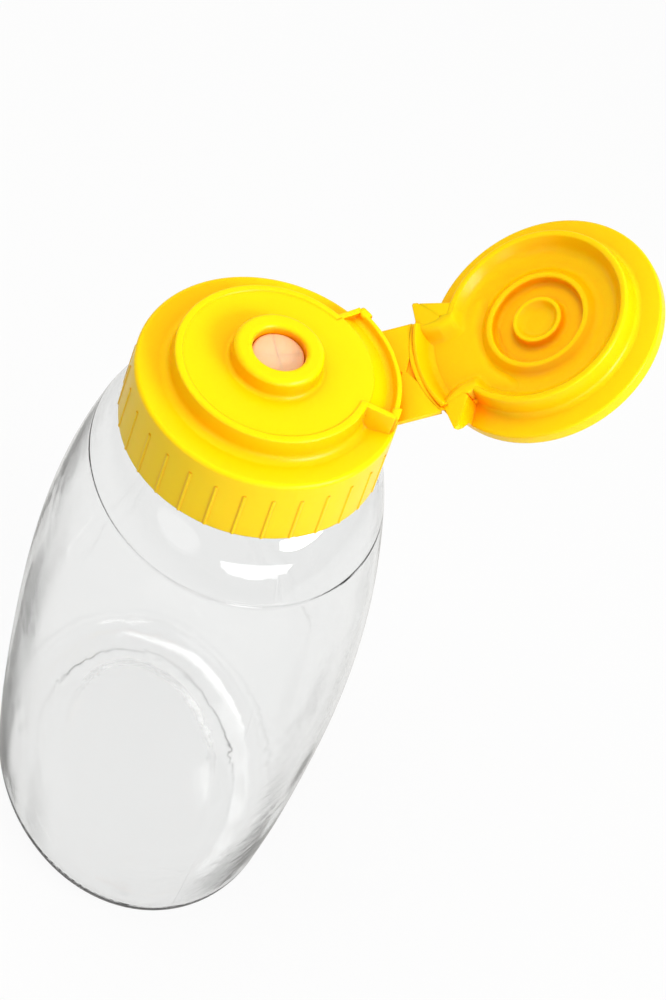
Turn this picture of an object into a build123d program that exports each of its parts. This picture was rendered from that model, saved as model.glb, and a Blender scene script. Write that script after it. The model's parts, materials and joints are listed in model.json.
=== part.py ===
from build123d import *
from math import atan, degrees, radians, sin, sqrt, tan
import os

# A squeeze bottle for sauce with a screw-on flip-top closure.
# Millimetres, +Z up, standing on Z = 0.  The closure's hinge is on the +Y side.

# ---------------------------------------------------------------- bottle sizes
rim_height = 150.0            # the closure's rim plane above the standing plane
belly_half_width = 43.0       # oval body, along the hinge line
belly_half_depth = 35.5
belly_drop = 95.0             # fullest section, below the rim plane
body_taper = 2.5              # how late the body draws in below the crease
bottle_wall = 0.9
floor_wall = 1.4
heel_round = 6.0              # rounding where the wall meets the base
base_half_width = 41.0
base_half_depth = 33.5
push_up = 3.5                 # height of the hollow under the base
foot_width = 9.0              # standing ring with its heel, from the outside of the base
crease_drop = 27.8            # shoulder crease below the rim plane
crease_half_width = 32.7
crease_half_depth = 29.2
shoulder_dome_wide = 0.42     # smaller is a squarer shoulder
shoulder_dome_deep = 0.30
root_drop = 14.1              # where the shoulder meets the neck
root_step = 1.2
neck_radius = 17.4            # root of a 38 mm continuous thread finish
neck_bore = 15.2

# --------------------------------------------------------------- closure sizes
rim_radius = 25.0
skirt_height = 15.0
skirt_flare = 0.65            # the skirt is wider at its lower edge by this much
skirt_wall = 1.4
rim_round = 0.9
top_plate = 1.6
rib_count = 30
rib_phase = 3.0
rib_width = 0.65
rib_height = 0.18
rib_top_drop = 4.2
deck_radius = 18.5            # raised disc that the lid closes on
deck_rise = 4.3
deck_plate = 1.6
deck_hollow = 16.2
bead_width = 1.3
bead_height = 0.25
spout_radius = 8.5
spout_rise = 8.3              # spout tip above the rim plane
orifice = 5.0
thread_ring_clearance = 1.5
thread_ring_wall = 1.4
thread_ring_length = 10.9

# ------------------------------------------------------- liner, valve, retainer
liner_thickness = 0.8
valve_seat = 4.6              # shelf in the spout, above the rim plane
valve_pocket = 7.2
flange_thickness = 1.0
valve_head_top = 6.1
valve_head_thickness = 0.6
valve_wall = 0.6
valve_clearance = 0.2
slit_half_length = 3.4
slit_gap = 0.08
petal_swing = 50.0            # how far the petals lift
retainer_height = 2.2
retainer_bore = 5.2

# ------------------------------------------------------------ lid and hinge
lid_inset = 2.0               # the lid's rim stands this far inside the skirt
lip_gap = 0.2                 # lid lip above the deck bead when closed
lip_radius = 17.45
lip_width = 1.1
band_width = 0.7              # steep band between the lip and the flat brim
band_depth = 4.0
wall_depth = 2.7              # where the bowl's steep wall ends, in from the lip
wall_width = 1.7
bowl_depth = 3.55
valley_radius = 11.6
outer_ring_radius = 8.95      # sealing ring round the spout
outer_ring_width = 0.95
ring_depth = 1.85             # crests of both sealing rings, in from the lip
plug_width = 0.85
button_depth = 3.3
lid_height = 7.9
lid_top_dish = 2.0
running_gap = 0.25
spout_clearance = 0.35
open_angle = 138.0            # how far the lid stands open
hinge_inset = 0.9             # curved faces that the strap hangs from
film_standoff = 0.3           # film hinges, out from those faces
film_drop = 0.4               # lower film hinge, below the rim plane
film_gap = 0.2
strap_length = 4.0            # between the two film hinges
strap_half_width = 10.6
strap_thickness = 1.0
strap_web = 0.55              # thin web between the strap's two stiff wings
wing_waist = 0.8              # height of the wings where they meet
wing_share = 0.8              # share of the strap's half width that the thin web takes
strap_recess = 3.2            # room under the lower film hinge
block_start = 15.6            # where the hinge block leaves the deck
block_half_width = 11.6
block_splay = 0.44            # the block widens by this much per millimetre
block_draft = 12.0            # lean of the block's two ends
groove_floor = 2.3
groove_width = 1.1
curb_top = 3.55
curb_width = 0.9
fence_drop = 0.9              # the fence at each end of the block slopes down by this
fence_width = 1.3
nub_radius = 1.5              # round corner where each fence meets the curb
nub_reach = 24.6
ear_inner = 7.8               # lugs at both ends of the lid's hinge pocket
ear_outer = 15.2
ear_reach = 26.0
ear_length = 4.3
ear_depth = 3.6               # the lugs' outer tips end this far in from the lip
pocket_floor = 2.5            # floor of the lid's hinge pocket, in from the lip
pocket_slope = 2.6
pocket_roof = 6.9

hinge_face = rim_radius - hinge_inset
film_reach = hinge_face + film_standoff
lid_radius = rim_radius - lid_inset
fold = open_angle / 2
lip_plane = deck_rise + bead_height + lip_gap
neck_top = -top_plate - liner_thickness
thread_ring_radius = neck_radius + thread_ring_clearance
thread_ring_end = neck_top - thread_ring_length + liner_thickness


def turned(corners):
    """Solid turned about Z from corners given as (radius, height, rounding)."""
    path = [(radius, height) for radius, height, rounding in corners]
    rounds = [rounding for radius, height, rounding in corners]
    outline = FilletPolyline(path, radius=rounds, close=True)
    return revolve(make_face(Plane.XZ * outline), Axis.Z)


def oval(height, half_width, half_depth):
    return Pos(0, 0, height) * Ellipse(half_width, half_depth)


def disc(radius, low, high):
    return Pos(0, 0, low) * extrude(Circle(radius), high - low)


def ring(inner, outer, low, high):
    return Pos(0, 0, low) * extrude(Circle(outer) - Circle(inner), high - low)


def slab(half_width, near, far, low, high):
    """Box across the hinge side, from Y = near to Y = far."""
    plan = Pos(0, (near + far) / 2) * Rectangle(2 * half_width, far - near)
    return Pos(0, 0, low) * extrude(plan, high - low)


# ------------------------------------------------------------------- bottle
def shoulder_sections(inset):
    """Ovals from the crease up to the root of the neck, domed like a shoulder."""
    crease = rim_height - crease_drop
    root = rim_height - root_drop
    root_radius = neck_radius + root_step
    sections = []
    for share in (0.0, 0.38, 0.7, 0.88, 1.0):
        wide = root_radius + (crease_half_width - root_radius) * (1 - share) ** shoulder_dome_wide
        deep = root_radius + (crease_half_depth - root_radius) * (1 - share) ** shoulder_dome_deep
        height = crease + (root - crease) * share - inset * share
        sections.append(oval(height, wide - inset, deep - inset))
    return sections


def body_sections(inset):
    """Ovals from the base up to the shoulder crease, fullest at the belly."""
    belly = rim_height - belly_drop
    crease = rim_height - crease_drop
    sections = []
    for share in (0.0, 0.3, 0.65):
        draw_in = (1 - share) ** 2
        wide = belly_half_width - (belly_half_width - base_half_width) * draw_in
        deep = belly_half_depth - (belly_half_depth - base_half_depth) * draw_in
        low = floor_wall if inset else 0.0
        sections.append(oval(low + (belly - low) * share, wide - inset, deep - inset))
    for share in (0.0, 0.3, 0.54, 0.73, 0.88, 1.0):
        draw_in = share ** body_taper
        wide = belly_half_width - (belly_half_width - crease_half_width) * draw_in
        deep = belly_half_depth - (belly_half_depth - crease_half_depth) * draw_in
        sections.append(oval(belly + (crease - belly) * share, wide - inset, deep - inset))
    return sections


def blown_form(inset, neck, neck_end):
    """Solid of the bottle's outside, or of its inside when drawn in by the wall."""
    body = loft(body_sections(inset))
    body = fillet(body.edges().group_by(Axis.Z)[0], heel_round - inset)
    body += loft(shoulder_sections(inset))
    return body + disc(neck, rim_height - crease_drop, neck_end)


def foot_oval(height, draw_in):
    return oval(height, base_half_width - draw_in, base_half_depth - draw_in)


def bottle():
    outside = blown_form(0, neck_radius, rim_height + neck_top)
    inside = blown_form(bottle_wall, neck_bore, rim_height + neck_top)
    kick = loft([
        foot_oval(0, foot_width - floor_wall),
        foot_oval(push_up + floor_wall, foot_width + 2 * push_up - floor_wall),
    ])
    hollow = loft([foot_oval(0, foot_width), foot_oval(push_up, foot_width + 2 * push_up)])
    return outside - (inside - kick) - hollow


# ------------------------------------------------------------------ closure
def closure_shell():
    skirt_foot = rim_radius + skirt_flare
    ring_outer = thread_ring_radius + thread_ring_wall
    face = deck_rise
    bead = deck_rise + bead_height
    collar = valve_pocket + 1.5
    under_deck = deck_rise - deck_plate
    return turned([
        (skirt_foot, -skirt_height, 0.0),
        (rim_radius, 0.0, rim_round),
        (deck_radius + 0.5, -0.3, 1.7),
        (deck_radius, bead, 0.4),
        (deck_radius - bead_width, bead, 0.2),
        (deck_radius - bead_width - 0.2, face, 0.2),
        (spout_radius + 0.1, face, 0.9),
        (spout_radius - 0.1, spout_rise, 1.1),
        (orifice, spout_rise, 0.9),
        (orifice, valve_seat, 0.0),
        (valve_pocket, valve_seat, 0.0),
        (valve_pocket, under_deck - 1.5, 0.0),
        (collar, under_deck - 1.5, 0.0),
        (collar, under_deck, 0.0),
        (deck_hollow, under_deck, 0.0),
        (deck_hollow, -top_plate, 0.0),
        (thread_ring_radius, -top_plate, 0.0),
        (thread_ring_radius, thread_ring_end, 0.0),
        (ring_outer, thread_ring_end, 0.0),
        (ring_outer, -top_plate, 0.0),
        (rim_radius - skirt_wall, -top_plate, 0.0),
        (skirt_foot - skirt_wall, -skirt_height, 0.0),
    ])


def skirt_ribs():
    """Upright grip ribs over the lower part of the skirt."""
    slope = degrees(atan(skirt_flare / skirt_height))
    length = skirt_height - rib_top_drop
    foot = rim_radius + skirt_flare
    bar = Pos(0, 0, length / 2) * Box(2 * rib_height, rib_width, length)
    bar = chamfer(bar.edges().filter_by(Axis.Z).group_by(Axis.X)[-1], rib_height * 0.8)
    bar = Pos(foot, 0, -skirt_height) * Rot(0, -slope, 0) * bar
    ribs = []
    for index in range(rib_count):
        turn = rib_phase + index * 360 / rib_count
        if abs(turn - 90) > 34:
            ribs.append(Rot(0, 0, turn) * bar)
    return ribs


def block_plan(margin):
    """Splayed outline of the hinge block, from inside the deck to the rim."""
    near = block_start - 3
    far = rim_radius
    near_half = block_half_width - 3 * block_splay + margin
    far_half = block_half_width + (far - block_start) * block_splay + margin
    return Polygon(
        (-near_half, near), (near_half, near), (far_half, far), (-far_half, far), align=None,
    )


def block_body(margin):
    """The block's outline raised from the top plate, its ends leaning in."""
    rise = curb_top + top_plate
    lean = rise * tan(radians(block_draft))
    return Pos(0, 0, -top_plate) * extrude(block_plan(margin + lean), 2 * rise, taper=block_draft)


def hinge_block():
    """Ramp and groove behind the deck, the curb, and a fence with a nub at each end."""
    curb_inner = hinge_face - curb_width
    fence_top = deck_rise - fence_drop
    ramp = turned([
        (0, -top_plate, 0),
        (hinge_face, -top_plate, 0),
        (hinge_face, curb_top, 0.25),
        (curb_inner, curb_top, 0.25),
        (curb_inner - 0.6, groove_floor, 0.6),
        (curb_inner - 0.6 - groove_width, groove_floor, 0.8),
        (deck_radius - 0.3, deck_rise, 2.0),
        (0, deck_rise, 0),
    ])
    crest = turned([
        (deck_radius - 3, -top_plate, 0),
        (hinge_face, -top_plate, 0),
        (hinge_face, fence_top, 0.5),
        (deck_radius, deck_rise, 0),
        (deck_radius - 3, deck_rise, 0),
    ])
    fences = crest & (block_body(0) - block_body(-fence_width))
    reach = strap_half_width + nub_radius
    nub_place = sqrt(hinge_face ** 2 - reach ** 2) + 0.2
    nubs = [
        Pos(side * reach, nub_place, 0) * turned([
            (0, 0, 0), (nub_radius, 0, 0), (nub_radius, fence_top + 0.3, 0.7), (0, fence_top + 0.3, 0),
        ])
        for side in (-1, 1)
    ]
    backing = ring(hinge_face - 1.6, rim_radius - 0.2, -film_drop - strap_recess - 1.2, 0)
    backing &= slab(strap_half_width + 2.5, 0, rim_radius, -skirt_height, 1)
    corners = (nubs[0] + nubs[1]) & disc(nub_reach, 0, deck_rise)
    return (ramp & block_body(0)) + fences + corners + backing


def cap_base():
    shell = closure_shell()
    bead_cut = ring(deck_radius - bead_width - 0.3, deck_radius + 0.3, deck_rise, deck_rise + 1)
    shell -= bead_cut & Pos(0, 0, deck_rise) * extrude(block_plan(-fence_width), 1)
    shell += skirt_ribs()
    shell += hinge_block()
    strap_room = ring(hinge_face, rim_radius + 5, -film_drop - strap_recess, spout_rise)
    half = strap_half_width + 2 * running_gap
    return shell - (strap_room & slab(half, 0, rim_radius + 9, -skirt_height, spout_rise))


def sealing_liner():
    return ring(neck_bore + 0.2, thread_ring_radius - 0.3, neck_top, -top_plate)


# -------------------------------------------------------------------- valve
def slit_square(half_diagonal):
    return Rot(0, 0, 45) * Rectangle(half_diagonal * sqrt(2), half_diagonal * sqrt(2))


def slit_valve():
    """Flange, sleeve and the fixed border of the head, in silicone."""
    outer = orifice - valve_clearance
    inner = outer - valve_wall
    head_low = valve_head_top - valve_head_thickness
    body = turned([
        (inner, valve_seat - flange_thickness, 0.0),
        (valve_pocket - 0.1, valve_seat - flange_thickness, 0.0),
        (valve_pocket - 0.1, valve_seat, 0.0),
        (outer, valve_seat, 0.0),
        (outer, valve_head_top, 0.4),
        (0.0, valve_head_top, 0.0),
        (0.0, head_low, 0.0),
        (inner, head_low, 0.0),
    ])
    return body - Pos(0, 0, head_low - 1) * extrude(slit_square(slit_half_length + slit_gap), 3)


def valve_petal(turn):
    """One of the four flaps between the cross slits, closed.  Its flanks lean in
    underneath, so that the flaps clear each other while they lift."""
    root = slit_half_length / sqrt(2)
    half = (slit_half_length - slit_gap) / sqrt(2)
    lean = valve_head_thickness * sin(radians(petal_swing))
    top = Polygon((slit_gap * sqrt(2), 0), (root, -half), (root, half), align=None)
    tip = slit_gap * sqrt(2) + lean / 3
    foot = Polygon((tip, 0), (root, lean - half), (root, half - lean), align=None)
    low = valve_head_top - valve_head_thickness
    flap = loft([Pos(0, 0, low) * foot, Pos(0, 0, valve_head_top) * top], ruled=True)
    return Rot(0, 0, turn) * flap


def valve_retainer():
    top = valve_seat - flange_thickness
    return turned([
        (retainer_bore, top - retainer_height, 0.3),
        (valve_pocket, top - retainer_height, 0.0),
        (valve_pocket, top, 0.0),
        (retainer_bore, top, 0.0),
    ])


# ------------------------------------------------------------- strap and lid
film_low = (0, film_reach, -film_drop)
swing_reach = film_reach + strap_length / 2 * tan(radians(fold / 2))
swing_centre = (0, swing_reach, strap_length / 2 - film_drop)


def hinge_strap():
    """Bow-tie web between the two film hinges, drawn upright as when closed.  The
    two stiff wings taper to the middle, and the web between them is thinner."""
    edge = strap_half_width
    bow = (hinge_face - sqrt(hinge_face ** 2 - edge ** 2)) / sin(radians(fold))
    low = film_gap
    high = strap_length - film_gap
    outline = Curve() + [
        ThreePointArc((-edge, low - bow), (0, low), (edge, low - bow)),
        Line((edge, low - bow), (edge, high + bow)),
        ThreePointArc((edge, high + bow), (0, high), (-edge, high + bow)),
        Line((-edge, high + bow), (-edge, low - bow)),
    ]
    plane = Plane(origin=film_low, x_dir=(1, 0, 0), z_dir=(0, -1, 0))
    web = extrude(plane * make_face(outline), -strap_thickness)
    relief = strap_thickness - strap_web
    middle = strap_length / 2
    reach = edge * wing_share
    for end in (-1, 1):
        waist = middle + end * wing_waist / 2
        root = middle + end * (strap_length / 2 + bow)
        notch = Polygon((0, waist), (reach, root), (-reach, root), align=None)
        web -= extrude(plane * notch, relief, both=True)
    return web


def lid_dish():
    """The lid's round part, lip down as when closed, with its two sealing rings."""
    valley = spout_rise + spout_clearance - lip_plane
    plug = orifice - running_gap
    outer = outer_ring_radius
    lip_inner = lip_radius - lip_width / 2
    lip_outer = lip_radius + lip_width / 2
    rim_dip = band_depth + 0.7
    dish_corners = [
        (0, button_depth, 0),
        (plug - plug_width - 0.9, button_depth - 0.2, 2.2),
        (plug - plug_width + 0.1, ring_depth, 0.4),
        (plug, ring_depth, 0.35),
        (plug + 0.2, valley, 1.0),
        (outer - 0.3, valley, 1.0),
        (outer, ring_depth, 0.4),
        (outer + outer_ring_width, ring_depth, 0.45),
        (valley_radius, bowl_depth, 1.8),
        (lip_inner - wall_width, wall_depth, 3.0),
        (lip_inner, 0.0, 0.5),
        (lip_outer, 0.0, 0.5),
        (lip_outer + band_width, band_depth, 1.2),
        (lid_radius, rim_dip, 0.5),
        (lid_radius, lid_height, 1.0),
        (lid_radius - 3.2, lid_height + 0.3, 1.5),
        (lid_radius - 8.5, lid_height - lid_top_dish + 0.2, 6.0),
        (0, lid_height - lid_top_dish, 0),
    ]
    return Pos(0, 0, lip_plane) * turned(dish_corners)


def ear_plan(side, inset):
    """Outline of one lug at the end of the hinge pocket."""
    corner = strap_half_width + 0.3
    back = sqrt(hinge_face ** 2 - corner ** 2)
    front = back - ear_length
    return Polygon(
        (side * (ear_inner - inset), front), (side * (ear_inner + 2.2), front - 0.6),
        (side * (ear_outer - 0.5), back - 1.5), (side * ear_outer, back - 0.4),
        (side * corner, back), (side * (ear_inner + 1.8 - inset), back + 0.6), align=None,
    )


def lid_hinge_pocket():
    """Curved rear wall with a sloping inner face, its floor, and a lug at each end."""
    height = pocket_roof
    low = curb_top + running_gap - lip_plane
    rear = turned([
        (lip_radius - 4, pocket_floor, 0),
        (hinge_face - pocket_slope, pocket_floor, 2.0),
        (hinge_face - 0.8, low, 0.2),
        (hinge_face, low, 0.3),
        (hinge_face, height, 1.0),
        (lip_radius - 4, height, 0),
    ])
    pocket = rear & slab(ear_inner + 2, lip_radius - 5, rim_radius, -5, 30)
    bound = turned([
        (0, 0, 0),
        (ear_reach, 0, 0.3),
        (ear_reach - 0.4, ear_depth / 3, 0),
        (lid_radius, ear_depth, 0),
        (lid_radius, height, 0.5),
        (0, height, 0),
    ])
    for side in (-1, 1):
        foot = Pos(0, 0, pocket_floor) * ear_plan(side, 1.6)
        ear = loft([ear_plan(side, 0), foot], ruled=True)
        ear += extrude(foot, height - pocket_floor, dir=(0, 0, 1))
        pocket += ear & bound
    return Pos(0, 0, lip_plane) * pocket


def flip_lid():
    floor = lip_plane + pocket_floor
    half = ear_inner + 0.2
    plan = Polygon(
        (-half, lip_radius - 5), (half, lip_radius - 5), (half + 1, rim_radius + 2),
        (-half - 1, rim_radius + 2), align=None,
    )
    return lid_dish() - extrude(plan, floor) + lid_hinge_pocket()


def opened(piece, hinge, angle):
    """Swings a piece from its closed place to its open one."""
    return piece.rotate(Axis(hinge, (1, 0, 0)), -angle)


def lifted(piece):
    return Pos(0, 0, rim_height) * piece


nodes = {
    "bottle": bottle(),
    "sealing_liner": lifted(sealing_liner()),
    "cap_base": lifted(cap_base()),
    "slit_valve": lifted(slit_valve()),
    "valve_retainer": lifted(valve_retainer()),
    "hinge_strap": lifted(opened(hinge_strap(), film_low, fold)),
    "flip_lid": lifted(opened(flip_lid(), swing_centre, open_angle)),
}
for index in range(4):
    nodes[f"valve_petal_{index + 1}"] = lifted(valve_petal(45 + 90 * index))

os.makedirs("parts", exist_ok=True)
for name, solid in nodes.items():
    solid.label = name
    export_step(solid, f"parts/{name}.step")
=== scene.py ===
"""Clear squeeze bottle with a yellow flip-top dispensing closure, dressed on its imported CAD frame."""
import json
import math

import bmesh
import bpy
from mathutils import Euler, Matrix, Vector


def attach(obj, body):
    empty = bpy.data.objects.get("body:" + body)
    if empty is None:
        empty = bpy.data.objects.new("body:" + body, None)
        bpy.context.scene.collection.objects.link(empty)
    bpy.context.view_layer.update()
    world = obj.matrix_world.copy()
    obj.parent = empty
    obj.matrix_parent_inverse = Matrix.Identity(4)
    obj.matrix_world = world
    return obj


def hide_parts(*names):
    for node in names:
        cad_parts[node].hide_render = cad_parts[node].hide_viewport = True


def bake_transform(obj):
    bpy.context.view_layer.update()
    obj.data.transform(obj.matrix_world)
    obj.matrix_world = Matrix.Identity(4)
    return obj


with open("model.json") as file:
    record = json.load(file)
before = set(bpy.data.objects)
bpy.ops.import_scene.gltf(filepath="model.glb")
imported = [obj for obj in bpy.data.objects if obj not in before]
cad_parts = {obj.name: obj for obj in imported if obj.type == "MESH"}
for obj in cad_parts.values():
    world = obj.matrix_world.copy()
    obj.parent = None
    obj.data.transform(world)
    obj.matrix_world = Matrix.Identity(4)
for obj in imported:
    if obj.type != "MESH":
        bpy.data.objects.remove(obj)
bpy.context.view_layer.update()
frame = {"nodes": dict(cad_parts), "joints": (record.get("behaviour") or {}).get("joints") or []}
nodes = frame["nodes"]
scene = bpy.context.scene

# ---------------------------------------------------------------- camera
# A long lens looks down over the closure from the front right, so that the open lid fills the
# upper right of the picture and the bottle runs down out of it.
camera_data = bpy.data.cameras.new("camera")
camera_data.lens = 64.8
camera_data.sensor_width = 36.0
camera_data.clip_start = 0.01
camera_data.clip_end = 20.0
camera = bpy.data.objects.new("camera", camera_data)
camera.location = (0.19709, -0.10146, 0.39459)
camera.rotation_euler = Euler([math.radians(a) for a in (36.908, -14.439, 76.102)], "XYZ")
scene.collection.objects.link(camera)
scene.camera = camera
scene.view_settings.view_transform = "Standard"

# ---------------------------------------------------------------- lamps and sky
# A broad key lamp stands on the lid's side, a soft one overhead, a low strip in front and a weak
# fill, under a sky that is white to the eye and grey through the clear plastic.
def soft_lamp(name, place, width, height, power, target=(0.0, 0.01, 0.15)):
    """An oval area lamp, its power in watts, turned towards the closure."""
    lamp = bpy.data.lights.new(name, "AREA")
    lamp.shape = "ELLIPSE"
    lamp.size = width
    lamp.size_y = height
    lamp.energy = power
    obj = bpy.data.objects.new(name, lamp)
    obj.location = place
    obj.rotation_mode = "QUATERNION"
    obj.rotation_quaternion = (Vector(target) - Vector(place)).to_track_quat("-Z", "Y")
    scene.collection.objects.link(obj)
    return obj


key_lamp = soft_lamp("key_lamp", (0.66, 0.53, 0.66), width=0.56, height=0.34, power=8.0)
key_lamp.visible_transmission = False
top_lamp = soft_lamp("top_lamp", (-0.12, -0.12, 0.95), width=0.6, height=0.6, power=5.3)
top_lamp.visible_glossy = False
soft_lamp("strip_lamp", (1.00, 0.05, 0.31), width=0.95, height=0.15, power=2.0)
soft_lamp("fill_lamp", (0.45, -0.70, 0.35), width=0.5, height=0.5, power=0.4)


def even_sky(tree, colour, strength):
    """An even glow of one colour from all round."""
    glow = tree.nodes.new("ShaderNodeBackground")
    glow.inputs["Color"].default_value = (*colour, 1.0)
    glow.inputs["Strength"].default_value = strength
    return glow


def mixed(tree, share, first, second):
    """One shader going over into another, by a share from 0 to 1."""
    mix = tree.nodes.new("ShaderNodeMixShader")
    tree.links.new(share, mix.inputs[0])
    tree.links.new(first.outputs[0], mix.inputs[1])
    tree.links.new(second.outputs[0], mix.inputs[2])
    return mix


white = (1.0, 1.0, 1.0)
sky = bpy.data.worlds.new("sky")
scene.world = sky
sky.use_nodes = True
tree = sky.node_tree
tree.nodes.clear()
sky_light = even_sky(tree, (1.0, 0.985, 0.96), strength=0.37)
sky_seen = even_sky(tree, white, strength=1.0)
sky_through_plastic = even_sky(tree, white, strength=0.60)
ray = tree.nodes.new("ShaderNodeLightPath")
sky_unseen = mixed(tree, ray.outputs["Is Transmission Ray"], sky_light, sky_through_plastic)
sky_mix = mixed(tree, ray.outputs["Is Camera Ray"], sky_unseen, sky_seen)
out = tree.nodes.new("ShaderNodeOutputWorld")
tree.links.new(sky_mix.outputs[0], out.inputs["Surface"])

# ---------------------------------------------------------------- floor
# A wide pale table top under the bottle, white to the eye, which still takes the bottle's shadow.
# It turns to plain white far away, and to grey where it is seen through the clear plastic.
floor_radius = 3.0
floor_drop = 0.0002
floor_colour = (0.60, 0.60, 0.59)
white_share_near = 0.93
white_share_far = 1.0
whiten_from_to = (0.35, 1.30)
dim_far_away = 0.55
dim_from_to = (0.30, 0.75)


def worked_out(tree, operation, *values):
    """The result of a sum done on outputs of other nodes or on plain numbers."""
    node = tree.nodes.new("ShaderNodeMath")
    node.operation = operation
    for socket, value in zip(node.inputs, values):
        if isinstance(value, float):
            socket.default_value = value
        else:
            tree.links.new(value, socket)
    return node.outputs[0]


def smooth_range(tree, value, start, end, first, last):
    """A value that goes gently from the first to the last between a start and an end."""
    span = tree.nodes.new("ShaderNodeMapRange")
    span.interpolation_type = "SMOOTHSTEP"
    span.inputs["From Min"].default_value = start
    span.inputs["From Max"].default_value = end
    span.inputs["To Min"].default_value = first
    span.inputs["To Max"].default_value = last
    tree.links.new(value, span.inputs["Value"])
    return span.outputs["Result"]


def piece_from(shape, name, finish, smooth=False):
    """A new object in one finish, made of the given faces."""
    made = bpy.data.meshes.new(name)
    shape.to_mesh(made)
    shape.free()
    made.materials.append(finish)
    for polygon in made.polygons:
        polygon.use_smooth = smooth
    piece = bpy.data.objects.new(name, made)
    scene.collection.objects.link(piece)
    return piece


pale_floor = bpy.data.materials.new("pale_floor")
pale_floor.use_nodes = True
tree = pale_floor.node_tree
tree.nodes.clear()
where = tree.nodes.new("ShaderNodeTexCoord")
distance = tree.nodes.new("ShaderNodeVectorMath")
distance.operation = "LENGTH"
tree.links.new(where.outputs["Object"], distance.inputs[0])
distance = distance.outputs["Value"]
ray = tree.nodes.new("ShaderNodeLightPath")
seen = worked_out(tree, "MAXIMUM", ray.outputs["Is Camera Ray"], ray.outputs["Is Transmission Ray"])
white_share = smooth_range(tree, distance, *whiten_from_to, white_share_near, white_share_far)
dimmed = smooth_range(tree, distance, *dim_from_to, 1.0, dim_far_away)
brightness = tree.nodes.new("ShaderNodeMix")
brightness.data_type = "FLOAT"
brightness.inputs["B"].default_value = 1.0
tree.links.new(ray.outputs["Is Camera Ray"], brightness.inputs["Factor"])
tree.links.new(dimmed, brightness.inputs["A"])
paint = tree.nodes.new("ShaderNodeBsdfDiffuse")
paint.inputs["Color"].default_value = (*floor_colour, 1.0)
glow = tree.nodes.new("ShaderNodeEmission")
glow.inputs["Color"].default_value = (*white, 1.0)
tree.links.new(brightness.outputs["Result"], glow.inputs["Strength"])
floor_mix = mixed(tree, worked_out(tree, "MULTIPLY", seen, white_share), paint, glow)
out = tree.nodes.new("ShaderNodeOutputMaterial")
tree.links.new(floor_mix.outputs[0], out.inputs["Surface"])

shape = bmesh.new()
bmesh.ops.create_circle(shape, cap_ends=True, radius=floor_radius, segments=96)
floor = piece_from(shape, "floor", pale_floor)
floor.location.z = -floor_drop

# ---------------------------------------------------------------- bottle
# The bottle is blown from clear PET: a thin, very glossy wall, a little uneven where the hot
# plastic stretched, with a sharp crease round its shoulder and a neck that stayed cold and thick.
def plain_finish(name, colour, roughness):
    """A new material with one Principled shader; gives the material, its tree and the shader."""
    finish = bpy.data.materials.new(name)
    finish.use_nodes = True
    shader = finish.node_tree.nodes["Principled BSDF"]
    shader.inputs["Base Color"].default_value = (*colour, 1.0)
    shader.inputs["Roughness"].default_value = roughness
    return finish, finish.node_tree, shader


def object_noise(tree, scale, detail, stretch=(1.0, 1.0, 1.0)):
    """Noise on Object coordinates; gives the noise node."""
    where = tree.nodes.new("ShaderNodeTexCoord")
    place = tree.nodes.new("ShaderNodeMapping")
    place.inputs["Scale"].default_value = stretch
    noise = tree.nodes.new("ShaderNodeTexNoise")
    noise.inputs["Scale"].default_value = scale
    noise.inputs["Detail"].default_value = detail
    tree.links.new(where.outputs["Object"], place.inputs["Vector"])
    tree.links.new(place.outputs["Vector"], noise.inputs["Vector"])
    return noise


def bump_from(tree, shader, height, distance, strength=1.0, edge=0.0):
    """Bump from a height, over edges that look softened by a radius where one is given."""
    bump = tree.nodes.new("ShaderNodeBump")
    bump.inputs["Strength"].default_value = strength
    bump.inputs["Distance"].default_value = distance
    tree.links.new(height, bump.inputs["Height"])
    if edge:
        soft_edge = tree.nodes.new("ShaderNodeBevel")
        soft_edge.samples = 4
        soft_edge.inputs["Radius"].default_value = edge
        tree.links.new(soft_edge.outputs["Normal"], bump.inputs["Normal"])
    tree.links.new(bump.outputs["Normal"], shader.inputs["Normal"])
    return bump


def finish_node(name, finish):
    """Gives one of the CAD pieces its material."""
    node = nodes[name]
    node.data.materials.clear()
    node.data.materials.append(finish)


pet_colour = (0.94, 0.943, 0.94)
# Painted shade: a darker grey is tinted along the shoulder's crease, for the dark line the bent plastic
# shows.
crease_shade_colour = (0.88, 0.88, 0.88)
clear_pet, tree, shader = plain_finish("clear_pet", pet_colour, roughness=0.035)
shader.inputs["Transmission Weight"].default_value = 1.0
shader.inputs["IOR"].default_value = 1.57
crease_height = 0.1222
crease_width = 0.00045
crease_depth = 0.00004
where = tree.nodes.new("ShaderNodeTexCoord")
split = tree.nodes.new("ShaderNodeSeparateXYZ")
tree.links.new(where.outputs["Object"], split.inputs[0])
above_crease = worked_out(tree, "SUBTRACT", split.outputs["Z"], crease_height)
crease = smooth_range(tree, worked_out(tree, "ABSOLUTE", above_crease), 0.0, crease_width, 1.0, 0.0)
pet_tint_with_crease_shade = tree.nodes.new("ShaderNodeMix")
pet_tint_with_crease_shade.data_type = "RGBA"
pet_tint_with_crease_shade.inputs["A"].default_value = (*pet_colour, 1.0)
pet_tint_with_crease_shade.inputs["B"].default_value = (*crease_shade_colour, 1.0)
tree.links.new(crease, pet_tint_with_crease_shade.inputs["Factor"])
tree.links.new(pet_tint_with_crease_shade.outputs["Result"], shader.inputs["Base Color"])
waves = object_noise(tree, scale=24.0, detail=2.0, stretch=(1.0, 1.0, 0.35))
wave_bump = bump_from(tree, shader, waves.outputs["Fac"], distance=0.0018, strength=0.7)
crease_bump = tree.nodes.new("ShaderNodeBump")
crease_bump.inputs["Distance"].default_value = crease_depth
tree.links.new(crease, crease_bump.inputs["Height"])
tree.links.new(wave_bump.outputs["Normal"], crease_bump.inputs["Normal"])
tree.links.new(crease_bump.outputs["Normal"], shader.inputs["Normal"])
finish_node("bottle", clear_pet)

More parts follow.
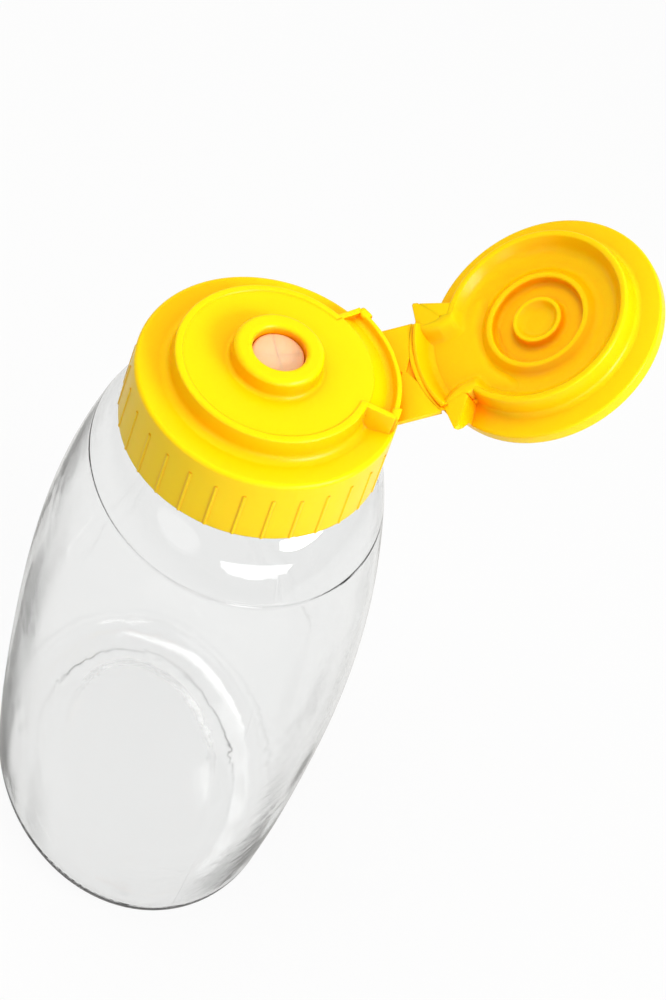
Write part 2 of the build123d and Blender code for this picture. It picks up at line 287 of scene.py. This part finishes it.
# ---------------------------------------------------------------- neck thread
# The neck carries a 38 mm continuous thread: one and a half turns of a blunt ridge that runs out
# at both ends, moulded with the neck.
thread_pitch = 0.004233
thread_depth = 0.0013
thread_foot = 0.1388
neck_thread_radius = 0.01790


def thread_tree(name):
    """Sweeps a trapezoid along a helix; its sizes are inputs, and its ends run out to nothing."""
    end_size = 0.05
    end_run = 0.07
    group = bpy.data.node_groups.new(name, "GeometryNodeTree")
    face = group.interface
    face.new_socket("Geometry", in_out="OUTPUT", socket_type="NodeSocketGeometry")
    inputs = {}
    for label, kind in (
        ("Radius", "NodeSocketFloat"), ("Pitch", "NodeSocketFloat"), ("Turns", "NodeSocketFloat"),
        ("Depth", "NodeSocketFloat"), ("Root", "NodeSocketFloat"), ("Crest", "NodeSocketFloat"),
        ("Foot", "NodeSocketFloat"), ("Finish", "NodeSocketMaterial"),
    ):
        inputs[label] = face.new_socket(label, in_out="INPUT", socket_type=kind).identifier
    new, link = group.nodes.new, group.links.new
    sizes = new("NodeGroupInput")
    height = worked_out(group, "MULTIPLY", sizes.outputs["Pitch"], sizes.outputs["Turns"])
    helix = new("GeometryNodeCurveSpiral")
    helix.inputs["Resolution"].default_value = 64
    link(sizes.outputs["Turns"], helix.inputs["Rotations"])
    link(sizes.outputs["Radius"], helix.inputs["Start Radius"])
    link(sizes.outputs["Radius"], helix.inputs["End Radius"])
    link(height, helix.inputs["Height"])
    upright = new("GeometryNodeSetCurveNormal")
    upright.mode = "Z_UP"
    link(helix.outputs[0], upright.inputs["Curve"])
    along = new("GeometryNodeSplineParameter")
    fade = new("ShaderNodeFloatCurve")
    points = fade.mapping.curves[0].points
    points[0].location = (0.0, end_size)
    points[1].location = (1.0, end_size)
    points.new(end_run, 1.0)
    points.new(1.0 - end_run, 1.0)
    fade.mapping.update()
    link(along.outputs["Factor"], fade.inputs["Value"])
    section = new("GeometryNodeCurvePrimitiveQuadrilateral")
    section.mode = "TRAPEZOID"
    link(sizes.outputs["Depth"], section.inputs["Height"])
    link(sizes.outputs["Root"], section.inputs["Bottom Width"])
    link(sizes.outputs["Crest"], section.inputs["Top Width"])
    section.inputs["Offset"].default_value = 0.0
    turn = new("GeometryNodeTransform")
    turn.inputs["Rotation"].default_value = (0.0, 0.0, math.pi / 2)
    link(section.outputs[0], turn.inputs["Geometry"])
    sweep = new("GeometryNodeCurveToMesh")
    sweep.inputs["Fill Caps"].default_value = True
    link(upright.outputs[0], sweep.inputs["Curve"])
    link(turn.outputs[0], sweep.inputs["Profile Curve"])
    link(fade.outputs[0], sweep.inputs["Scale"])
    lift = new("ShaderNodeCombineXYZ")
    link(sizes.outputs["Foot"], lift.inputs["Z"])
    move = new("GeometryNodeTransform")
    link(sweep.outputs[0], move.inputs["Geometry"])
    link(lift.outputs[0], move.inputs["Translation"])
    solid = new("GeometryNodeRealizeInstances")
    link(move.outputs[0], solid.inputs[0])
    paint = new("GeometryNodeSetMaterial")
    link(solid.outputs[0], paint.inputs["Geometry"])
    link(sizes.outputs["Finish"], paint.inputs["Material"])
    out = new("NodeGroupOutput")
    link(paint.outputs[0], out.inputs[0])
    return group, inputs


def grown(name, group, inputs, values, body):
    """Runs a node group on an empty mesh and keeps its result as a plain piece of a body."""
    seed = bpy.data.objects.new(name + "_seed", bpy.data.meshes.new(name + "_seed"))
    scene.collection.objects.link(seed)
    modifier = seed.modifiers.new("make", "NODES")
    modifier.node_group = group
    for label, value in values.items():
        modifier[inputs[label]] = value
    bpy.context.view_layer.update()
    made = seed.evaluated_get(bpy.context.evaluated_depsgraph_get())
    made = bpy.data.meshes.new_from_object(made)
    bpy.data.objects.remove(seed)
    made.name = name
    piece = bpy.data.objects.new(name, made)
    scene.collection.objects.link(piece)
    shape = bmesh.new()
    shape.from_mesh(made)
    bmesh.ops.recalc_face_normals(shape, faces=shape.faces)
    shape.to_mesh(made)
    shape.free()
    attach(piece, body)


thread_group, thread_inputs = thread_tree("screw_thread")
grown("neck_thread", thread_group, thread_inputs, {
    "Radius": neck_thread_radius, "Pitch": thread_pitch, "Turns": 1.5, "Depth": thread_depth,
    "Root": 0.0021, "Crest": 0.0010, "Foot": thread_foot, "Finish": clear_pet,
}, "bottle")

# ---------------------------------------------------------------- closure
# The closure body is moulded in one shot from glossy yellow polypropylene, which lets a little
# light into its edges; the deeper orange in its hollows is painted shade.
def colour_ramp(tree, value, start, first, end, last):
    """A colour that goes from the first to the last as a value goes from start to end."""
    ramp = tree.nodes.new("ShaderNodeValToRGB")
    for stop, position, colour in zip(ramp.color_ramp.elements, (start, end), (first, last)):
        stop.position = position
        stop.color = (*colour, 1.0)
    tree.links.new(value, ramp.inputs["Fac"])
    return ramp.outputs["Color"]


def yellow_plastic(name, colour, hollow_shade, roughness, grain):
    """Semi-gloss plastic with fine grain, whose hollows take the second colour as painted shade."""
    finish, tree, shader = plain_finish(name, colour, roughness)
    shader.inputs["IOR"].default_value = 1.49
    shader.inputs["Specular IOR Level"].default_value = 0.22
    shader.inputs["Subsurface Weight"].default_value = 0.35
    shader.inputs["Subsurface Radius"].default_value = (1.0, 0.42, 0.04)
    shader.inputs["Subsurface Scale"].default_value = 0.0022
    flow = object_noise(tree, scale=60.0, detail=3.0, stretch=(1.0, 1.0, 0.4))
    darker = (colour[0] * 0.985, colour[1] * 0.97, colour[2])
    tint = colour_ramp(tree, flow.outputs["Fac"], 0.3, darker, 0.7, colour)
    # Painted shade: where ambient occlusion finds a hollow, the base colour turns to a deeper orange.
    openness = tree.nodes.new("ShaderNodeAmbientOcclusion")
    openness.samples = 4
    openness.inputs["Distance"].default_value = 0.009
    hollow_shade_mix = tree.nodes.new("ShaderNodeMix")
    hollow_shade_mix.data_type = "RGBA"
    hollow_shade_mix.inputs["A"].default_value = (*hollow_shade, 1.0)
    open_share = colour_ramp(tree, openness.outputs["AO"], 0.44, (0.0, 0.0, 0.0), 0.96, white)
    tree.links.new(open_share, hollow_shade_mix.inputs["Factor"])
    tree.links.new(tint, hollow_shade_mix.inputs["B"])
    tree.links.new(hollow_shade_mix.outputs["Result"], shader.inputs["Base Color"])
    skin = object_noise(tree, scale=900.0, detail=2.0)
    bump_from(tree, shader, skin.outputs["Fac"], distance=grain, edge=0.00035)
    return finish


# The second colour is the painted shade of the hollows.
yellow = yellow_plastic(
    "yellow_polypropylene", colour=(1.0, 0.655, 0.001), hollow_shade=(0.92, 0.31, 0.0),
    roughness=0.28, grain=0.00002,
)
finish_node("cap_base", yellow)

# ---------------------------------------------------------------- thread inside the closure
# The closure's ring carries the matching ridge on its inside, half a pitch above the neck's, so
# that the two lie in each other's grooves. It is moulded with the closure.
closure_thread_radius = 0.01840
grown("closure_thread", thread_group, thread_inputs, {
    "Radius": closure_thread_radius, "Pitch": thread_pitch, "Turns": 1.3, "Depth": -thread_depth,
    "Root": 0.0016, "Crest": 0.0008, "Foot": thread_foot + 0.5 * thread_pitch, "Finish": yellow,
}, "closure")

# ---------------------------------------------------------------- hinge strap
# The bow-tie strap comes out of the same mould as the closure and the lid, thick enough to stay
# stiff while the two films at its ends bend.
finish_node("hinge_strap", yellow)

# ---------------------------------------------------------------- lid
# The lid is moulded lying open, with its lip, brim, lugs and the two rings that seal in and round
# the spout when it is shut.
finish_node("flip_lid", yellow)

# ---------------------------------------------------------------- hollow of the lid's hinge
# The moulding flows in one soft hollow from the lid's lip and both lugs down to the floor of the
# hinge pocket and on into the bowl. This skin is that hollow, moulded with the lid. Its sizes are
# in millimetres on the closed lid, and depths count from the lip into the lid.
joints = {joint["name"]: joint for joint in frame["joints"]}
lid_swing = joints["lid_swing"]
lid_swing_centre = Vector(lid_swing["pos_m"])
lid_open = Matrix.Rotation(-math.radians(lid_swing["range_deg"][1]), 4, "X")
lip_plane = 0.15475

# The bowl has a leaning wall from the lip, an almost flat floor and a rounded corner between them.
lip_inner_radius = 16.9
bowl_wall_width = 1.7
bowl_wall_depth = 2.7
bowl_floor_fall = 0.85
bowl_floor_run = 3.6
bowl_corner_reach = 1.2
bowl_corner_fill = 0.3

# The pocket's edge runs from the back to the front, with a shelf outside it and, across from each
# of its points, a place on the lid's middle line.
pocket_depth = 2.45
pocket_fall = 3.4
pocket_edge = [
    (9.60, 21.90), (9.05, 20.6), (8.45, 19.0), (7.95, 17.6), (7.95, 16.4), (8.05, 15.4),
    (8.40, 14.72), (9.35, 14.13), (10.9, 12.97), (12.3, 11.65), (13.4, 10.36), (14.6, 8.6),
    (15.6, 6.6),
]
pocket_shelf = [0.35, 0.45, 0.7, 1.1, 1.5, 1.2, 0.5, 0.25, 0.15, 0.1, 0.1, 0.1, 0.1]
pocket_middle = [23.2, 21.8, 20.0, 18.0, 16.0, 14.0, 12.4, 10.8, 9.6, 8.9, 8.4, 8.2, 7.9]

# The skin lies just over the moulding, dips under the bowl's floor at its end and stays on top of
# the block that carries the pocket.
rows_per_point = 4
points_per_half_row = 24
skin_proud = 0.02
skin_buried = 0.08
block_depth = 2.44
block_front_radius = 13.6
block_front_run = 3.2
block_side = 9.9
block_side_run = 2.2
sink_start = 5.6
sink_run = 2.6
flatten_start = 10.2
flatten_run = 1.8

# A narrow curtain closes both ends of each row, from the skin down to the brim.
curtain_width = 0.15
curtain_lean = 0.03
curtain_top = 0.1
curtain_top_sink = 0.4
curtain_rear = 4.0
curtain_front = 1.5
curtain_change = 5
brink_drop = 0.14


def eased(share):
    """A share from 0 to 1 that starts and ends gently."""
    share = min(1.0, max(0.0, share))
    return share * share * (3.0 - 2.0 * share)


def between(values, here, share):
    """The value a share of the way from one item of a list to the next."""
    return values[here] + (values[here + 1] - values[here]) * share


def bowl_depth_at(radius):
    """How deep the bowl lies behind the lip, at a distance from the lid's middle."""
    foot_radius = lip_inner_radius - bowl_wall_width
    wall = bowl_wall_depth * (lip_inner_radius - radius) / bowl_wall_width
    floor_depth = bowl_wall_depth + bowl_floor_fall * min(1.0, (foot_radius - radius) / bowl_floor_run)
    round_off = max(0.0, 1.0 - abs(wall - floor_depth) / bowl_corner_reach)
    return max(0.0, min(wall, floor_depth) - bowl_corner_fill * round_off ** 2)


def lid_point(x, y, depth):
    """A point given on the closed lid, in millimetres, moved to the open lid."""
    place = Vector((x / 1000, y / 1000, lip_plane + depth / 1000))
    return lid_open @ (place - lid_swing_centre) + lid_swing_centre


def hollow_depth(x, y, edge, row, sink):
    """Depth of the hollow: a soft slope from its edge, which runs out into the bowl."""
    radius = math.hypot(x, y)
    slope = eased(math.hypot(edge.x - x, edge.y - y) / pocket_fall)
    depth = pocket_depth * slope - skin_proud
    into_bowl = eased((block_front_radius - radius) / block_front_run)
    over_block = (1 - into_bowl) * (1 - eased((x - block_side) / block_side_run))
    over_block *= 1 - eased((row - flatten_start) / flatten_run)
    bowl = bowl_depth_at(radius) + skin_buried
    bowl -= over_block * max(0.0, bowl - block_depth)
    return depth + (bowl - depth) * max(into_bowl, sink)


def hollow_row(part):
    """One row of points across the hollow, with a curtain down to the brim at both ends."""
    row = part / rows_per_point
    here = min(int(row), len(pocket_edge) - 2)
    share = row - here
    edge = Vector(pocket_edge[here]).lerp(Vector(pocket_edge[here + 1]), share)
    outer = edge.x + between(pocket_shelf, here, share)
    middle = between(pocket_middle, here, share)
    sink = eased((row - sink_start) / sink_run)
    half_row = []
    for step in range(points_per_half_row + 1):
        share = step / points_per_half_row
        x = edge.x * (1 - share)
        y = edge.y + (middle - edge.y) * share
        half_row.append((x, y, hollow_depth(x, y, edge, row, sink)))
    brink = bowl_depth_at(math.hypot(outer - curtain_width, edge.y)) + brink_drop
    curtain = [
        (outer + curtain_lean, edge.y, curtain_rear if row < curtain_change else curtain_front),
        (outer, edge.y, curtain_top + curtain_top_sink * sink),
        (outer - curtain_width, edge.y, brink * sink - skin_proud),
    ]
    left = [(-x, y, depth) for x, y, depth in curtain + half_row]
    right = [(x, y, depth) for x, y, depth in reversed(curtain + half_row[:-1])]
    return [lid_point(*point) for point in left + right]


def bake(piece):
    """Turns the piece's modifiers into plain mesh."""
    bpy.context.view_layer.update()
    made = bpy.data.meshes.new_from_object(piece.evaluated_get(bpy.context.evaluated_depsgraph_get()))
    piece.modifiers.clear()
    piece.data = made


def lid_skin(shape, name, edge_width=0.0):
    """A smooth yellow piece of the lid made of the given faces, its edges softened if asked."""
    bmesh.ops.recalc_face_normals(shape, faces=shape.faces)
    piece = piece_from(shape, name, yellow, smooth=True)
    if edge_width:
        edges = piece.modifiers.new("edges", "BEVEL")
        edges.width = edge_width
        edges.segments = 4
        bake(piece)
        piece.data.set_sharp_from_angle(angle=math.radians(50.0))
    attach(piece, "lid")


shape = bmesh.new()
rows = []
for part in range((len(pocket_edge) - 1) * rows_per_point + 1):
    rows.append([shape.verts.new(point) for point in hollow_row(part)])
for rear, front in zip(rows, rows[1:]):
    for i in range(len(rear) - 1):
        shape.faces.new((rear[i], front[i], front[i + 1], rear[i + 1]))
lid_skin(shape, "lid_pocket")

# ---------------------------------------------------------------- film hinges
# Two thin films of the same plastic join the strap to the closure and to the lid. The mould leaves
# them a third of a millimetre thick, and they bend each time the lid is flipped.
strap_fold = joints["strap_fold"]
film_axis = Vector(strap_fold["pos_m"])
fold_angle = math.radians(strap_fold["range_deg"][1])
strap_length = 0.0040
strap_gap = 0.0002
strap_half_width = 0.0106
strap_bow = 0.00263
strap_arc = (strap_half_width ** 2 + strap_bow ** 2) / (2 * strap_bow)
hinge_wall_radius = 0.0241
film_thickness = 0.00036
film_bite = 0.00015
film_side_gap = 0.0002
film_columns = 32
film_shares = (0.0, 0.33, 0.67, 1.0)


def film(name, far_end):
    """A thin skin in the strap's plane, from the strap's curved end to the curved hinge wall."""
    shape = bmesh.new()
    rows = []
    for step in range(film_columns + 1):
        x = (2 * step / film_columns - 1) * (strap_half_width - film_side_gap)
        bow = strap_arc - math.sqrt(strap_arc ** 2 - x ** 2)
        reach = film_axis.y - math.sqrt((hinge_wall_radius - film_bite) ** 2 - x ** 2)
        ends = (strap_gap - bow + film_bite, -reach / math.sin(fold_angle))
        row = []
        for share in film_shares:
            along = ends[0] + (ends[1] - ends[0]) * share
            if far_end:
                along = strap_length - along
            row.append(shape.verts.new((
                x,
                film_axis.y + along * math.sin(fold_angle) + film_thickness / 2 * math.cos(fold_angle),
                film_axis.z + along * math.cos(fold_angle) - film_thickness / 2 * math.sin(fold_angle),
            )))
        rows.append(row)
    for left, right in zip(rows, rows[1:]):
        for i in range(len(film_shares) - 1):
            shape.faces.new((left[i], left[i + 1], right[i + 1], right[i]))
    bmesh.ops.recalc_face_normals(shape, faces=shape.faces)
    piece = piece_from(shape, name, yellow)
    wall = piece.modifiers.new("wall", "SOLIDIFY")
    wall.thickness = film_thickness
    wall.offset = 0.0
    bake(piece)
    return piece


lower_film = film("lower_film", False)
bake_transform(lower_film)
upper_film = film("upper_film", True)
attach(upper_film, "lid")

# ---------------------------------------------------------------- crown of the lid
# The lid's outside is one shallow dish, moulded with it and running over the back of the hinge
# pocket. The profile gives radius and depth from the lip, in millimetres on the closed lid.
crown_profile = [
    (0.0, 6.78), (4.0, 6.79), (8.0, 6.83), (11.0, 6.89), (13.5, 6.97), (15.5, 7.10), (17.0, 7.28),
    (18.2, 7.50), (19.0, 7.70), (19.6, 7.86), (20.0, 7.93), (20.5, 7.93),
]
crown_steps = 96
shape = bmesh.new()
middle_point = shape.verts.new(lid_point(0.0, 0.0, crown_profile[0][1]))
rings = []
for radius, depth in crown_profile[1:]:
    ring = []
    for step in range(crown_steps):
        turn = math.tau * step / crown_steps
        ring.append(shape.verts.new(lid_point(radius * math.cos(turn), radius * math.sin(turn), depth)))
    rings.append(ring)
for i in range(crown_steps):
    after = (i + 1) % crown_steps
    shape.faces.new((middle_point, rings[0][i], rings[0][after]))
    for inner, outer in zip(rings, rings[1:]):
        shape.faces.new((inner[i], outer[i], outer[after], inner[after]))
lid_skin(shape, "lid_crown")

# ---------------------------------------------------------------- root of the left lug
# The lug on the lid's left, at -X, runs out into the brim with a fuller root than the right one. It
# is moulded with the lid. Plan points are in millimetres on the closed lid, from the lug's tip.
root_top = [(-14.9, 20.2), (-9.6, 17.2), (-8.6, 15.4), (-11.2, 13.7)]
root_foot_tip = (-13.2, 18.4)
root_depths = (-0.01, 4.2)
shape = bmesh.new()
upper = [shape.verts.new(lid_point(x, y, root_depths[0])) for x, y in root_top]
lower = [shape.verts.new(lid_point(x, y, root_depths[1])) for x, y in [root_foot_tip] + root_top[1:]]
shape.faces.new(upper)
shape.faces.new(list(reversed(lower)))
for i in range(4):
    shape.faces.new((upper[i], lower[i], lower[(i + 1) % 4], upper[(i + 1) % 4]))
lid_skin(shape, "lug_root", edge_width=0.0004)

# ---------------------------------------------------------------- valve
# The slit valve is moulded from translucent silicone, with a deeper warm colour painted into its
# folds as shade. Its flange is clamped under the spout, and its head fills the spout's mouth.
silicone, tree, shader = plain_finish("pale_silicone", (0.95, 0.56, 0.34), roughness=0.40)
shader.inputs["Specular IOR Level"].default_value = 0.4
shader.inputs["Subsurface Weight"].default_value = 0.6
shader.inputs["Subsurface Radius"].default_value = (1.0, 0.5, 0.3)
shader.inputs["Subsurface Scale"].default_value = 0.002
# Painted shade: where ambient occlusion finds a fold, the silicone's colour turns a deeper orange.
sunk = tree.nodes.new("ShaderNodeAmbientOcclusion")
sunk.samples = 4
sunk.inputs["Distance"].default_value = 0.003
fold_shade_mix = tree.nodes.new("ShaderNodeMix")
fold_shade_mix.data_type = "RGBA"
fold_shade_mix.inputs["A"].default_value = (0.80, 0.22, 0.03, 1.0)
fold_shade_mix.inputs["B"].default_value = (0.93, 0.50, 0.30, 1.0)
tree.links.new(sunk.outputs["AO"], fold_shade_mix.inputs["Factor"])
tree.links.new(fold_shade_mix.outputs["Result"], shader.inputs["Base Color"])
cloud = object_noise(tree, scale=300.0, detail=2.0)
bump_from(tree, shader, cloud.outputs["Fac"], distance=0.00003)
finish_node("slit_valve", silicone)

# ---------------------------------------------------------------- flaps of the valve
# Two crossed slits cut the valve's shallow, dished head into four flaps. Each is a thin quarter of
# the same silicone, whole beyond the slits' ends, and its tip bends outwards from there.
head_plane = joints["petal_1_flex"]["pos_m"][2]
head_lift = 0.00003
head_dish = 0.0004
head_thickness = 0.0005
head_steps = 16
slit_reach = 0.0034
slit_half_gap = 0.000001
slit_end_run = 0.0004
head_profile = [
    (0.00002, 0.0), (0.0006, 0.02), (0.0012, 0.08), (0.0018, 0.17), (0.0021, 0.23), (0.0024, 0.30),
    (0.0027, 0.38), (0.0030, 0.46), (0.0034, 0.58), (0.0038, 0.71), (0.0042, 0.85), (0.0044, 0.90),
    (0.0046, 0.88), (0.00475, 0.78), (0.00483, 0.60), (0.00483, -0.4),
]


def head_quarter(index):
    """A quarter of the dished head, cut along its slits and whole beyond their ends."""
    turn = math.radians(45.0 + 90.0 * index)
    out = Vector((math.cos(turn), math.sin(turn), 0.0))
    shape = bmesh.new()
    rows = []
    for radius, rise in head_profile:
        gap = slit_half_gap * min(1.0, max(0.0, (slit_reach - radius) / slit_end_run))
        row = []
        for step in range(head_steps + 1):
            angle = math.radians(-45.0 + 90.0 * step / head_steps)
            along = radius * math.cos(angle)
            across = radius * math.sin(angle)
            if step in (0, head_steps):
                along += gap / math.sqrt(2)
                across -= math.copysign(gap / math.sqrt(2), across)
            place = out * along + Vector((-out.y, out.x, 0.0)) * across
            row.append(shape.verts.new((place.x, place.y, head_plane + head_lift + head_dish * rise)))
        rows.append(row)
    for inner, outer in zip(rows, rows[1:]):
        for i in range(head_steps):
            shape.faces.new((inner[i], outer[i], outer[i + 1], inner[i + 1]))
    piece = piece_from(shape, f"valve_flap_{index + 1}", silicone, smooth=True)
    wall = piece.modifiers.new("wall", "SOLIDIFY")
    wall.thickness = head_thickness
    wall.offset = -1.0
    bake(piece)
    piece.data.set_sharp_from_angle(angle=math.radians(40.0))
    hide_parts(f"valve_petal_{index + 1}")
    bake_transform(piece)


for index in range(4):
    head_quarter(index)

# ---------------------------------------------------------------- valve retainer
# A ring of uncoloured polypropylene snaps in under the spout and clamps the valve's flange. It is
# moulded by itself, and is slightly milky.
natural, tree, shader = plain_finish("natural_polypropylene", (0.86, 0.86, 0.82), roughness=0.35)
shader.inputs["Subsurface Weight"].default_value = 0.4
shader.inputs["Subsurface Scale"].default_value = 0.001
grain = object_noise(tree, scale=500.0, detail=2.0)
bump_from(tree, shader, grain.outputs["Fac"], distance=0.00002)
finish_node("valve_retainer", natural)

# ---------------------------------------------------------------- sealing liner
# A flat ring cut from white foam sheet lies inside the closure and is pressed onto the neck's rim
# when the closure is screwed down.
foam, tree, shader = plain_finish("white_foam", (0.92, 0.92, 0.90), roughness=0.75)
cells = object_noise(tree, scale=1500.0, detail=4.0)
bump_from(tree, shader, cells.outputs["Fac"], distance=0.00008)
finish_node("sealing_liner", foam)
